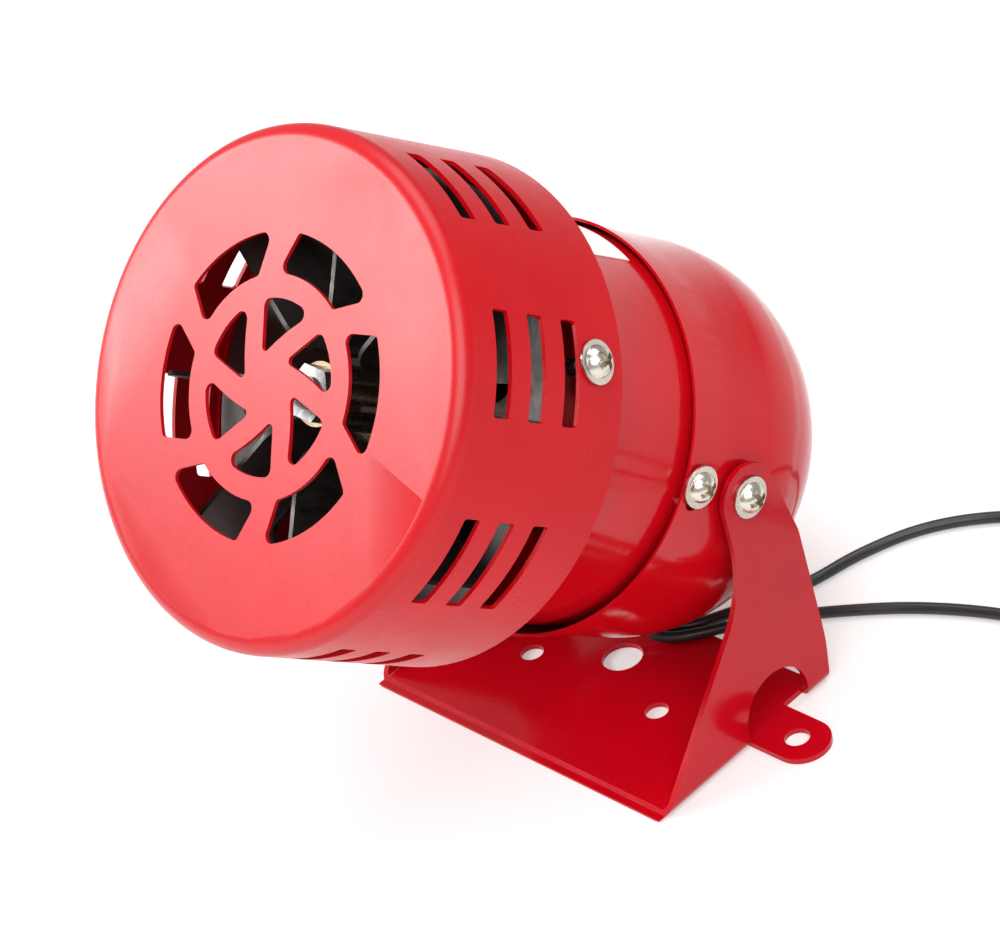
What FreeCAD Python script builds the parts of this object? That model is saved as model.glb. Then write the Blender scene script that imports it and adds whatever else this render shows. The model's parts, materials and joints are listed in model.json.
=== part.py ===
"""Small motor-driven alarm siren: a tilting siren head on a folded sheet-steel bracket.

The frame stands on the bracket's base. The origin is the centre of the base's fixing hole, on the
underside, X runs from arm to arm, Y towards the rear and Z up. The siren head is built about its own
axis, which local Z follows from the front face to the rear, and is then tilted onto the pivot.
"""
import FreeCAD, Part
import math
import os

from FreeCAD import Placement, Rotation, Vector

os.makedirs("parts", exist_ok=True)

# ---------------------------------------------------------------- bracket, mm
arm_span = 68.6            # outside one arm to outside the other
bracket_sheet = 1.0
bend_outside = 2.0
base_front = 26.0          # from the fixing hole to the front edge
base_rear = 11.8
arm_front_foot = 24.7      # where the arms' sloping front edge leaves the base
arm_front_slope = 46.7     # degrees
arm_rear = 15.2            # the arms' upright rear edge
arm_rear_foot = 14.0
arm_rear_shoulder = 12.5   # below the pivot
arm_head_radius = 5.5
arm_neck_bend = 21.0
pivot_back = 7.1           # pivot behind the fixing hole
pivot_height = 43.2
fixing_hole = 3.5          # radius
screw_hole = 2.0           # radius of the two holes beside it
screw_hole_side = 14.8
screw_hole_front = 7.0
ear_reach = 11.5           # past the arm
ear_width = 9.7
ear_hole = 2.1
ear_hole_reach = 5.6
window_front = 4.8
window_rear = 9.3
window_top = 10.0

# ---------------------------------------------------------------- siren head, mm
tilt_at_rest = 40.0        # degrees, nose up
pivot_station = 73.5       # from the front face
axis_step = 0.5            # the dome hangs this much lower than the housing in its screw slots

cover_radius = 40.0
cover_wall = 0.7
cover_depth = 34.5
cover_edge = 2.6

slot_groups = 8
slot_rows = 3
slot_first = 8.8
slot_pitch = 7.3
slot_width = 3.2
slot_span = 23.0           # degrees
slot_offset = 22.5         # first group's clock angle, degrees up from +X
slot_corner = 0.5

grille_count = 6
grille_outer = 23.5
grille_inner = 17.1
grille_span = 46.0         # degrees
grille_lean = 9.3          # the outer arc trails the inner arc
grille_clock = 12.0
grille_corner = 0.8
grille_tip_corner = 1.3
eye_radius = 13.45
eye_bar = 3.2
eye_bar_offset = 3.2
eye_bar_clock = 47.5
eye_corner = 1.3
eye_tip_corner = 0.8
eye_bulge = 0.5             # of each bar's trailing side

housing_radius = 32.0
housing_wall = 0.8
housing_flange = cover_radius - cover_wall - 0.1
housing_flange_front = 26.4
housing_web = 33.0
housing_web_bore = 24.0
housing_rear = 65.0
fold = 1.6

dome_radius = housing_radius + 0.7
dome_wall = 0.5
dome_lip_radius = dome_radius + 0.9
dome_lip = 59.0
dome_lip_end = 69.0
dome_start = 78.0
dome_length = 31.0
dome_knuckle = 29.9        # radius of the shoulder, into which the flatter crown runs

label_front = 40.0
label_rear = 56.6
label_clock = 68.0
label_span = 46.0
label_thick = 0.12

# ---------------------------------------------------------------- fasteners, mm
shank = 1.7
flange_radius = 3.45
flange_thick = 0.6
head_radius = 2.6
head_height = 2.0
recess_depth = 1.6
recess_wing = 1.65
recess_width = 0.9
cover_screw_count = 3
cover_screw_clock = 25.5
cover_screw_station = 28.6
cover_screw_length = 4.5
dome_screw_station = 62.2
dome_screw_length = 5.0
dome_slot_half = 3.6
pivot_shank = 2.0
pivot_clearance = 0.06
pivot_screw_length = 7.5
pivot_nut_width = 7.0
pivot_nut_thick = 2.8
hole_clearance = 0.15

# ---------------------------------------------------------------- motor, mm
shaft_radius = 2.5
shaft_front = 7.8
shaft_rear = 76.0
bush_radius = 5.0
bush_clearance = 0.03
bearing_plate_radius = 29.0
bearing_plate_thick = 1.5
boss_radius = 8.0
boss_front = 28.2
boss_rear = 36.0
plate_screw_count = 4
plate_screw_circle = 26.6
plate_screw_shank = 1.25
vent_circle = 17.0
vent_radius = 3.4
vent_count = 6

motor_clock = 90.0         # the bolts stand above and below, clear of the pivot screws
core_front = 39.0
core_rear = 55.0
core_radius = 28.0
yoke_bore = 24.0
pole_bore = 13.4
pole_back = 16.0
pole_spread = 62.0         # degrees each way
pole_neck = 12.0
bolt_circle = 26.5
bolt_radius = 1.5
bolt_ear = 3.3
spacer_radius = 2.7
nut_width = 5.5
nut_thick = 2.4

coil_gap = 0.3
coil_build = 3.2
coil_low = 16.8
coil_high = 21.4

armature_radius = 13.0
armature_slots = 12
armature_slot_width = 2.0
armature_slot_floor = 7.5
winding_gap = 0.1
winding_radius = 11.2
winding_front = 37.4
winding_rear = 59.4
winding_bore = 3.2

commutator_radius = 8.0
commutator_front = 60.2
commutator_rear = 67.3
riser_radius = 9.2
riser_thick = 1.2
bar_gap = 0.5

rear_bar_front = 69.6
rear_bar_thick = 2.0
rear_bar_width = 14.0
rear_boss_front = 68.6
rear_boss_rear = 75.4

brush_plate_radius = 23.0
brush_plate_thick = 1.6
brush_station = 64.2
brush_half = 2.5
brush_gap = 0.1
brush_holder_half = 3.8
brush_holder_in = 9.6
brush_holder_out = 20.0
brush_out = 15.0
brush_lift = 0.1
brush_cap_thick = 1.2
spring_outside = 2.0
spring_inside = 1.4
rivet_radius = 1.2
rivet_place = 14.0

impeller_radius = cover_radius - 3.6
impeller_disc = 25.0
impeller_thick = 0.8
blade_count = 8
blade_front = 9.5
blade_inner = 7.8
blade_skew = 14.0
hub_radius = 7.0
hub_boss = 5.0
hub_front = 10.6
hub_rear = 27.4
impeller_nut_width = 8.0
impeller_nut_thick = 2.2

# ---------------------------------------------------------------- leads, mm
lead_radius = 1.0
lead_pitch = 2.5
grommet_station = 96.0
grommet_turn = 72.0
grommet_hole = 3.4
grommet_flange = 4.6
grommet_lip = 0.9
tip_radius = 0.55
tip_length = 7.0

arm_outside = arm_span / 2
arm_inside = arm_outside - bracket_sheet
pivot = Vector(0, pivot_back, pivot_height)
tilt = Rotation(Vector(1, 0, 0), -(90 + tilt_at_rest))


def at(x, up, station):
    """A point of the head: x across, up from the axis, station behind the front face."""
    return Vector(x, -up, station)


dome_place = Placement(pivot - tilt.multVec(at(0, 0, pivot_station)), tilt)
front_place = Placement(pivot - tilt.multVec(at(0, -axis_step, pivot_station)), tilt)


# ---------------------------------------------------------------- helpers
def rounded(corners, closed=True):
    """A wire through corners (point, radius), with a tangent arc at each corner that has a radius."""
    edges = []
    count = len(corners)
    starts = []
    ends = []
    middles = []
    for i in range(count):
        point, radius = corners[i]
        before = (corners[i - 1][0] - point).normalize()
        after = (corners[(i + 1) % count][0] - point).normalize()
        half = before.getAngle(after) / 2
        if radius == 0 or (not closed and i in (0, count - 1)):
            starts.append(point)
            ends.append(point)
            middles.append(None)
            continue
        leg = radius / math.tan(half)
        inward = (before + after).normalize()
        centre = point + inward * (radius / math.sin(half))
        starts.append(point + before * leg)
        ends.append(point + after * leg)
        middles.append(centre - inward * radius)
    for i in range(count):
        if middles[i] is not None:
            edges.append(Part.Arc(starts[i], middles[i], ends[i]).toShape())
        if i == count - 1 and not closed:
            break
        following = starts[(i + 1) % count]
        if (following - ends[i]).Length > 1e-6:
            edges.append(Part.LineSegment(ends[i], following).toShape())
    return Part.Wire(edges)


def turned(corners):
    """A body turned about the head's axis from (radius, station, corner radius)."""
    wire = rounded([(Vector(r, 0, s), fillet) for r, s, fillet in corners])
    return Part.Face(wire).revolve(Vector(0, 0, 0), Vector(0, 0, 1), 360)


def rod(radius, front, rear, x=0.0, up=0.0):
    return Part.makeCylinder(radius, rear - front, at(x, up, front), Vector(0, 0, 1))


def tube(outside, inside, front, rear, x=0.0, up=0.0):
    return rod(outside, front, rear, x, up).cut(rod(inside, front - 1, rear + 1, x, up))


def block(x0, x1, up0, up1, front, rear):
    return Part.makeBox(x1 - x0, up1 - up0, rear - front, at(x0, up1, front))


def hexagon(width, thick, front, x=0.0, up=0.0):
    reach = width / math.sqrt(3)
    corners = []
    for i in range(6):
        angle = math.radians(60 * i)
        corners.append((at(x + reach * math.cos(angle), up + reach * math.sin(angle), front), 0))
    return Part.Face(rounded(corners)).extrude(Vector(0, 0, thick))


def clock(shape, degrees):
    """The shape turned about the head's axis, +X towards up."""
    copy = shape.copy()
    copy.rotate(Vector(0, 0, 0), Vector(0, 0, 1), -degrees)
    return copy


def around(shape, count, first=0.0):
    return [clock(shape, first + 360.0 * i / count) for i in range(count)]


def along_z(edge):
    if len(edge.Vertexes) != 2:
        return False
    run = edge.Vertexes[1].Point - edge.Vertexes[0].Point
    return run.Length > 1e-6 and abs(run.z) > 0.999 * run.Length


def export(name, shapes, place=None):
    """Write one node; its shapes stay separate solids."""
    solids = []
    for shape in shapes:
        for solid in shape.Solids:
            copy = solid.copy()
            if place is not None:
                copy.Placement = place.multiply(copy.Placement)
            solids.append(copy)
    for solid in solids:
        if not solid.isValid():
            print("not valid:", name)
    out = solids[0] if len(solids) == 1 else Part.Compound(solids)
    out.exportStep("parts/" + name + ".step")
    print("%-24s %2d solid  %9.1f mm3" % (name, len(solids), sum(s.Volume for s in solids)))
    return out


def export_motor(name, shapes):
    """The motor's frame is drawn with its bolts to the sides, then turned to its own clock angle."""
    return export(name, [clock(shape, motor_clock) for shape in shapes], front_place)


# ---------------------------------------------------------------- fasteners
def pan_screw(seat, length, radius):
    """A flanged cross-recess screw along +X: the flange rests at x = seat and the shank goes inward."""
    out = Vector(1, 0, 0)
    shape = Part.makeCylinder(radius, length, Vector(seat - length, 0, 0), out)
    shape = shape.fuse(Part.makeCylinder(flange_radius, flange_thick, Vector(seat, 0, 0), out))
    ball = (head_radius ** 2 + head_height ** 2) / (2 * head_height)
    cap = Part.makeSphere(ball, Vector(seat + flange_thick + head_height - ball, 0, 0))
    cap = cap.common(Part.makeCylinder(head_radius, 4 * head_height, Vector(seat + flange_thick, 0, 0), out))
    shape = shape.fuse(cap).removeSplitter()
    top = seat + flange_thick + head_height
    for i in range(2):
        wing = Part.makeBox(2 * recess_depth, 2 * recess_wing, recess_width)
        wing.translate(Vector(top - recess_depth, -recess_wing, -recess_width / 2))
        wing.rotate(Vector(0, 0, 0), out, 45 + 90 * i)
        shape = shape.cut(wing)
    return shape


def moved(shape, shift):
    copy = shape.copy()
    copy.translate(shift)
    return copy


def mirrored(shape):
    """The same piece on the other side of the head."""
    return shape.mirror(Vector(0, 0, 0), Vector(1, 0, 0))


# ---------------------------------------------------------------- bracket
def make_bracket():
    top = pivot_height + arm_head_radius + 1
    inside_bend = bend_outside - bracket_sheet
    section = [
        (Vector(-arm_outside, 0, top), 0),
        (Vector(-arm_outside, 0, 0), bend_outside),
        (Vector(arm_outside, 0, 0), bend_outside),
        (Vector(arm_outside, 0, top), 0),
        (Vector(arm_inside, 0, top), 0),
        (Vector(arm_inside, 0, bracket_sheet), inside_bend),
        (Vector(-arm_inside, 0, bracket_sheet), inside_bend),
        (Vector(-arm_inside, 0, top), 0),
    ]
    depth = base_front + arm_rear
    channel = Part.Face(rounded(section)).extrude(Vector(0, depth, 0))
    channel.translate(Vector(0, -base_front, 0))

    neck_front = pivot_back - arm_head_radius
    neck_rear = pivot_back + arm_head_radius
    foot = 0.4 * bracket_sheet
    slope_top = foot + (neck_front + arm_front_foot) * math.tan(math.radians(arm_front_slope))
    outline = [
        (Vector(0, -base_front, -1), 0),
        (Vector(0, -base_front, foot), 0),
        (Vector(0, -arm_front_foot, foot), 0),
        (Vector(0, neck_front, slope_top), arm_neck_bend),
        (Vector(0, neck_front, pivot_height), 0),
        (Vector(0, neck_front, pivot_height + arm_head_radius), arm_head_radius),
        (Vector(0, neck_rear, pivot_height + arm_head_radius), arm_head_radius - 0.01),
        (Vector(0, neck_rear, pivot_height), 3.0),
        (Vector(0, arm_rear, pivot_height - arm_rear_shoulder), 8.0),
        (Vector(0, arm_rear, 8.0), 30.0),
        (Vector(0, arm_rear_foot, 0), 0),
        (Vector(0, arm_rear_foot, -1), 0),
    ]
    side = Part.Face(rounded(outline)).extrude(Vector(arm_span + 2, 0, 0))
    side.translate(Vector(-arm_outside - 1, 0, 0))
    body = channel.common(side)

    step = arm_outside - 2 * bend_outside
    notch = Part.makeBox(2 * step, arm_rear, 3 * bracket_sheet, Vector(-step, base_rear, -bracket_sheet))
    notch = notch.makeFillet(1.2, [e for e in notch.Edges if along_z(e)])
    body = body.cut(notch)

    window_width = window_front + window_rear
    window_radius = window_width / 2 - 0.01
    for side_sign in (-1, 1):
        outer = side_sign * arm_outside
        window = [
            (Vector(0, -window_front, -1), 0),
            (Vector(0, -window_front, window_top), window_radius),
            (Vector(0, window_rear, window_top), window_radius),
            (Vector(0, window_rear, -1), 0),
        ]
        cut = Part.Face(rounded(window)).extrude(Vector(2 * bend_outside, 0, 0))
        cut.translate(Vector(arm_outside - bend_outside, 0, 0))
        if side_sign < 0:
            cut = mirrored(cut)
        body = body.cut(cut)
        root = arm_outside - 2 * bend_outside
        tip = arm_outside + ear_reach
        half = ear_width / 2
        ear_outline = [
            (Vector(root, -half, 0), 0),
            (Vector(tip, -half, 0), half - 0.01),
            (Vector(tip, half, 0), half - 0.01),
            (Vector(root, half, 0), 0),
        ]
        ear = Part.Face(rounded(ear_outline)).extrude(Vector(0, 0, bracket_sheet))
        if side_sign < 0:
            ear = mirrored(ear)
        body = body.fuse(ear)
        hole = Part.makeCylinder(ear_hole, 4, Vector(outer + side_sign * ear_hole_reach, 0, -1))
        body = body.cut(hole)
        hole = Part.makeCylinder(screw_hole, 4, Vector(side_sign * screw_hole_side, -screw_hole_front, -1))
        body = body.cut(hole)
    body = body.cut(Part.makeCylinder(fixing_hole, 4, Vector(0, 0, -1)))
    bore = pivot_shank + pivot_clearance
    drill = Part.makeCylinder(bore, arm_span + 2, pivot - Vector(arm_outside + 1, 0, 0), Vector(1, 0, 0))
    return body.cut(drill).removeSplitter()


# ---------------------------------------------------------------- front cover
def grille_slot():
    """One curved opening of the outer ring; its ends lean with the direction of rotation."""
    ring = tube(grille_outer, grille_inner, -2, cover_wall + 2)
    corners = []
    inner_mid = grille_clock + grille_lean
    for radius, middle in ((grille_inner, inner_mid), (grille_outer, grille_clock)):
        for sign in (-1, 1):
            angle = math.radians(middle + sign * grille_span / 2)
            corners.append(at(radius * math.cos(angle), radius * math.sin(angle), -2))
    inner_low, inner_high, outer_low, outer_high = corners
    low = (outer_low - inner_low).normalize()
    high = (outer_high - inner_high).normalize()
    reach = grille_outer - grille_inner
    wedge = [
        (inner_low - low * reach, 0),
        (outer_low + low * reach, 0),
        (outer_high + high * reach, 0),
        (inner_high - high * reach, 0),
    ]
    prism = Part.Face(rounded(wedge)).extrude(Vector(0, 0, cover_wall + 4))
    slot = ring.common(prism)
    tips = near_edges(slot, (inner_high, outer_low))
    slot = slot.makeFillet(grille_tip_corner, tips)
    return slot.makeFillet(grille_corner, near_edges(slot, (inner_low, outer_high)))


def near_edges(body, corners):
    """The body's edges along Z that pass the given corners."""
    found = []
    for edge in body.Edges:
        if along_z(edge):
            place = edge.Vertexes[0].Point
            if any(math.hypot(place.x - c.x, place.y - c.y) < 0.05 for c in corners):
                found.append(edge)
    return found


def eye_opening():
    """One of the openings between the bars that swirl off the middle of the face."""
    def bar_line(angle, offset, distance):
        turn = math.radians(angle)
        return at(
            distance * math.cos(turn) - offset * math.sin(turn),
            distance * math.sin(turn) + offset * math.cos(turn),
            -2,
        )

    def crossing(first, first_offset, second, second_offset):
        a = bar_line(first, first_offset, 0)
        b = bar_line(second, second_offset, 0)
        run = bar_line(first, first_offset, 1) - a
        other = bar_line(second, second_offset, 1) - b
        across = run.x * other.y - run.y * other.x
        return a + run * (((b.x - a.x) * other.y - (b.y - a.y) * other.x) / across)

    pitch = 360.0 / grille_count
    near = eye_bar_offset - eye_bar / 2
    far = eye_bar_offset + eye_bar / 2
    first = eye_bar_clock
    second = eye_bar_clock - pitch
    tip = crossing(first, near, second, far)
    straight_end = bar_line(first, near, math.sqrt(eye_radius ** 2 - near ** 2))
    curved_end = bar_line(second, far, math.sqrt(eye_radius ** 2 - far ** 2))
    rim = straight_end + curved_end
    rim.z = 0
    rim = rim.normalize() * eye_radius
    rim.z = tip.z
    chord = curved_end - tip
    side = Vector(-chord.y, chord.x, 0).normalize()
    if side.dot(straight_end - tip) < 0:
        side = side * -1
    middle = (tip + curved_end) * 0.5 + side * eye_bulge
    outline = Part.Wire([
        Part.LineSegment(tip, straight_end).toShape(),
        Part.Arc(straight_end, rim, curved_end).toShape(),
        Part.Arc(curved_end, middle, tip).toShape(),
    ])
    opening = Part.Face(outline).extrude(Vector(0, 0, cover_wall + 4))
    opening = opening.makeFillet(eye_tip_corner, near_edges(opening, (tip,)))
    return opening.makeFillet(eye_corner, near_edges(opening, (straight_end, curved_end)))


def side_slot(row):
    """One side slot, centred on clock angle 0."""
    middle = slot_first + row * slot_pitch
    corners = [
        (Vector(cover_radius - 4, 0, middle - slot_width / 2), 0),
        (Vector(cover_radius + 4, 0, middle - slot_width / 2), 0),
        (Vector(cover_radius + 4, 0, middle + slot_width / 2), 0),
        (Vector(cover_radius - 4, 0, middle + slot_width / 2), 0),
    ]
    slot = Part.Face(rounded(corners)).revolve(Vector(0, 0, 0), Vector(0, 0, 1), slot_span)
    slot = clock(slot, slot_span / 2)
    ends = []
    for edge in slot.Edges:
        line = edge.Vertexes[-1].Point - edge.Vertexes[0].Point
        if abs(line.z) < 1e-6 and abs(line.Length - 8) < 1e-3:
            ends.append(edge)
    return slot.makeFillet(slot_corner, ends)


def make_cover():
    inner_edge = cover_edge - cover_wall
    shell = turned([
        (0, 0, 0),
        (cover_radius, 0, cover_edge),
        (cover_radius, cover_depth, 0),
        (cover_radius - cover_wall, cover_depth, 0),
        (cover_radius - cover_wall, cover_wall, inner_edge),
        (0, cover_wall, 0),
    ])
    tools = around(grille_slot(), grille_count) + around(eye_opening(), grille_count)
    for row in range(slot_rows):
        tools = tools + around(side_slot(row), slot_groups, slot_offset)
    hole = Part.makeCylinder(
        shank + hole_clearance, 6, at(cover_radius - 4, 0, cover_screw_station), Vector(1, 0, 0)
    )
    tools = tools + around(hole, cover_screw_count, cover_screw_clock)
    return shell.cut(tools)


# ---------------------------------------------------------------- housing and dome
def make_housing():
    inside = housing_radius - housing_wall
    flange_inside = housing_flange - housing_wall
    web_rear = housing_web + housing_wall
    shell = turned([
        (inside, housing_rear, 0),
        (housing_radius, housing_rear, 0),
        (housing_radius, web_rear, fold - housing_wall),
        (housing_flange, web_rear, fold),
        (housing_flange, housing_flange_front, 0),
        (flange_inside, housing_flange_front, 0),
        (flange_inside, housing_web, fold - housing_wall),
        (housing_web_bore, housing_web, 0),
        (housing_web_bore, web_rear, 0),
        (inside, web_rear, 0),
    ])
    tools = around(
        Part.makeCylinder(shank, 8, at(housing_flange - 4, 0, cover_screw_station), Vector(1, 0, 0)),
        cover_screw_count,
        cover_screw_clock,
    )
    tools = tools + around(
        Part.makeCylinder(shank, 8, at(housing_radius - 4, 0, dome_screw_station), Vector(1, 0, 0)), 2
    )
    tools = tools + around(
        rod(plate_screw_shank, housing_web - 1, web_rear + 1, plate_screw_circle), plate_screw_count, 45
    )
    bolt_hole = rod(bolt_radius, housing_web - 1, web_rear + 1, bolt_circle)
    tools = tools + around(bolt_hole, 2, motor_clock)
    return shell.cut(tools)


def dome_arcs(offset):
    """The dome's shoulder and crown, moved inward by the offset: start, join, nose and both middles."""
    knuckle_centre = Vector(dome_radius - dome_knuckle, 0, dome_start)
    sideways = dome_radius - dome_knuckle
    difference = (dome_length - dome_knuckle) ** 2 + sideways ** 2
    crown = dome_knuckle + difference / (2 * (dome_length - dome_knuckle))
    crown_centre = Vector(0, 0, dome_start + dome_length - crown)
    lean = (knuckle_centre - crown_centre).normalize()
    small = dome_knuckle - offset
    large = crown - offset
    start = knuckle_centre + Vector(small, 0, 0)
    turn = math.atan2(lean.z, lean.x) / 2
    middle = knuckle_centre + Vector(small * math.cos(turn), 0, small * math.sin(turn))
    join = knuckle_centre + lean * small
    nose = crown_centre + Vector(0, 0, large)
    turn = turn + math.pi / 4
    crown_middle = crown_centre + Vector(large * math.cos(turn), 0, large * math.sin(turn))
    return start, middle, join, crown_middle, nose


def dome_edge(offset):
    """The dome's outline moved inward by the offset, with its two ends."""
    lip = Vector(dome_lip_radius - offset, 0, dome_lip)
    lip_end = Vector(dome_radius - offset, 0, dome_lip_end)
    start, middle, join, crown_middle, nose = dome_arcs(offset)
    edges = [
        Part.LineSegment(lip, lip_end).toShape(),
        Part.LineSegment(lip_end, start).toShape(),
        Part.Arc(start, middle, join).toShape(),
        Part.Arc(join, crown_middle, nose).toShape(),
    ]
    return edges, lip, nose


def grommet_axis():
    """Centre of the lead hole on the dome's outer skin, and the way out of it."""
    climb = (grommet_station - dome_start) / dome_knuckle
    way = at(0, -math.sqrt(1 - climb * climb), climb)
    centre = at(0, -(dome_radius - dome_knuckle), dome_start) + way * dome_knuckle
    return centre, way


def make_dome():
    outer, outer_lip, outer_nose = dome_edge(0)
    inner, inner_lip, inner_nose = dome_edge(dome_wall)
    edges = outer + inner
    edges.append(Part.LineSegment(outer_lip, inner_lip).toShape())
    edges.append(Part.LineSegment(outer_nose, inner_nose).toShape())
    wire = Part.Wire(Part.__sortEdges__(edges))
    shell = Part.Face(wire).revolve(Vector(0, 0, 0), Vector(0, 0, 1), 360)
    tools = []
    for sign in (1, -1):
        slot = Part.makeBox(10, 2 * dome_slot_half, 2 * shank + 2 * hole_clearance)
        slot.translate(Vector(dome_radius - 5, -dome_slot_half, dome_screw_station - shank - hole_clearance))
        rounding = shank + hole_clearance - 0.02
        slot = slot.makeFillet(rounding, [e for e in slot.Edges if abs(e.BoundBox.XLength - 10) < 1e-6])
        tools.append(slot if sign > 0 else mirrored(slot))
    tools.append(Part.makeCylinder(
        pivot_shank, 4 * dome_radius, at(-2 * dome_radius, 0, pivot_station), Vector(1, 0, 0)
    ))
    centre, way = grommet_axis()
    tools.append(Part.makeCylinder(grommet_hole, 8, centre - way * 4, way))
    return shell.cut(tools)


def make_label():
    corners = [
        (Vector(housing_radius, 0, label_front), 0),
        (Vector(housing_radius + label_thick, 0, label_front), 0),
        (Vector(housing_radius + label_thick, 0, label_rear), 0),
        (Vector(housing_radius, 0, label_rear), 0),
    ]
    sheet = Part.Face(rounded(corners)).revolve(Vector(0, 0, 0), Vector(0, 0, 1), label_span)
    return clock(sheet, label_clock + label_span)


# ---------------------------------------------------------------- motor frame
def make_bearing_plate():
    front = housing_web - bearing_plate_thick
    plate = rod(bearing_plate_radius, front, housing_web)
    plate = plate.fuse(rod(boss_radius, boss_front, boss_rear))
    plate = plate.cut(rod(bush_radius, boss_front - 1, boss_rear + 1))
    tools = around(rod(vent_radius, front - 1, housing_web + 1, vent_circle), vent_count, 30)
    tools = tools + around(
        rod(plate_screw_shank, front - 1, housing_web + 1, plate_screw_circle), plate_screw_count, 45
    )
    tools = tools + around(rod(bolt_radius, front - 1, housing_web + 1, bolt_circle), 2, motor_clock)
    return plate.cut(tools)


def make_plate_screw():
    front = housing_web - bearing_plate_thick
    rear = housing_web + housing_wall
    shape = rod(plate_screw_shank, front, rear + 1.2, plate_screw_circle)
    shape = shape.fuse(rod(2 * plate_screw_shank, front - 1.4, front, plate_screw_circle))
    slit = block(plate_screw_circle - 4, plate_screw_circle + 4, -0.3, 0.3, front - 2, front - 0.7)
    return shape.cut(slit)


def make_core():
    yoke = tube(core_radius, yoke_bore, core_front, core_rear)
    for sign in (-1, 1):
        yoke = yoke.fuse(rod(bolt_ear, core_front, core_rear, sign * bolt_circle))
    shoe_ring = tube(pole_back, pole_bore, core_front, core_rear)
    reach = 2 * pole_back
    spread = math.radians(pole_spread)
    wedge = [
        (at(0, 0, core_front), 0),
        (at(reach * math.sin(spread), reach * math.cos(spread), core_front), 0),
        (at(0, reach, core_front), 0),
        (at(-reach * math.sin(spread), reach * math.cos(spread), core_front), 0),
    ]
    prism = Part.Face(rounded(wedge)).extrude(Vector(0, 0, core_rear - core_front))
    shoe = shoe_ring.common(prism)
    neck = block(-pole_neck / 2, pole_neck / 2, pole_back - 1, yoke_bore + 1, core_front, core_rear)
    pole = shoe.fuse(neck)
    body = yoke.fuse([pole, clock(pole, 180)])
    holes = around(rod(bolt_radius, core_front - 1, core_rear + 1, bolt_circle), 2)
    return body.cut(holes).removeSplitter()


def make_coil():
    """The upper field coil: a winding round the pole's neck, with rounded corners."""
    half_x = pole_neck / 2 + coil_gap
    front = core_front - coil_gap
    rear = core_rear + coil_gap

    def frame(grow, corner):
        corners = [
            (Vector(-half_x - grow, -coil_low, front - grow), corner),
            (Vector(half_x + grow, -coil_low, front - grow), corner),
            (Vector(half_x + grow, -coil_low, rear + grow), corner),
            (Vector(-half_x - grow, -coil_low, rear + grow), corner),
        ]
        return Part.Face(rounded(corners)).extrude(Vector(0, coil_low - coil_high, 0))

    return frame(coil_build, coil_build).cut(frame(0, 0))


def make_bolt():
    front = housing_web - bearing_plate_thick
    rear = rear_bar_front + rear_bar_thick + nut_thick + 1.0
    shape = rod(bolt_radius, front, rear, bolt_circle)
    return shape.fuse(rod(1.8 * bolt_radius, front - 1.6, front, bolt_circle))


def make_spacers():
    web_rear = housing_web + housing_wall
    front = tube(spacer_radius, bolt_radius, web_rear, core_front, bolt_circle)
    rear = tube(spacer_radius, bolt_radius, core_rear, rear_bar_front, bolt_circle)
    return around(front, 2) + around(rear, 2)


def make_rear_bar():
    rear = rear_bar_front + rear_bar_thick
    length = bolt_circle + bolt_ear
    bar = block(-length, length, -rear_bar_width / 2, rear_bar_width / 2, rear_bar_front, rear)
    bar = bar.makeFillet(bolt_ear, [e for e in bar.Edges if along_z(e)])
    bar = bar.fuse(rod(boss_radius, rear_boss_front, rear_boss_rear))
    tools = [rod(bush_radius, rear_boss_front - 1, rear_boss_rear + 1)]
    tools = tools + around(rod(bolt_radius, rear_bar_front - 1, rear + 1, bolt_circle), 2)
    tools = tools + around(rod(rivet_radius, rear_bar_front - 1, rear + 1, rivet_place), 2)
    return bar.cut(tools)


def make_brush_plate():
    front = rear_bar_front - brush_plate_thick
    plate = tube(brush_plate_radius, boss_radius + 0.3, front, rear_bar_front)
    return plate.cut(around(rod(rivet_radius, front - 1, rear_bar_front + 1, rivet_place), 2))


def make_rivet():
    front = rear_bar_front - brush_plate_thick
    rear = rear_bar_front + rear_bar_thick
    shape = rod(rivet_radius, front, rear, rivet_place)
    shape = shape.fuse(rod(1.8 * rivet_radius, front - 0.8, front, rivet_place))
    return shape.fuse(rod(1.8 * rivet_radius, rear, rear + 0.8, rivet_place))


def upright(half, low, high):
    """A square bar that stands off the axis at the brush station."""
    return block(-half, half, low, high, brush_station - half, brush_station + half)


def make_brush_holder():
    holder = upright(brush_holder_half, brush_holder_in, brush_holder_out)
    return holder.cut(upright(brush_half + brush_gap, brush_holder_in - 1, brush_holder_out + 1))


def make_spring():
    centre = at(0, brush_out, brush_station)
    length = brush_holder_out - brush_out
    sleeve = Part.makeCylinder(spring_outside, length, centre, Vector(0, -1, 0))
    return sleeve.cut(Part.makeCylinder(spring_inside, length, centre, Vector(0, -1, 0)))


# ---------------------------------------------------------------- rotor
def make_armature():
    core = tube(armature_radius, shaft_radius, core_front, core_rear)
    slot = block(
        armature_slot_floor, armature_radius + 1,
        -armature_slot_width / 2, armature_slot_width / 2,
        core_front - 1, core_rear + 1,
    )
    return core.cut(around(slot, armature_slots))


def make_windings():
    half = armature_slot_width / 2 - winding_gap
    outside = armature_radius - 2 * winding_gap - 0.4
    fill = block(armature_slot_floor + winding_gap, outside, -half, half, core_front - 0.5, core_rear + 0.5)
    front = turned([
        (winding_bore, winding_front, 0),
        (winding_radius, winding_front, 1.0),
        (winding_radius, core_front, 0),
        (winding_bore, core_front, 0),
    ])
    rear = turned([
        (winding_bore, core_rear, 0),
        (winding_radius, core_rear, 0),
        (winding_radius, winding_rear, 2.0),
        (winding_bore, winding_rear, 0),
    ])
    return front.fuse([rear] + around(fill, armature_slots))


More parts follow.
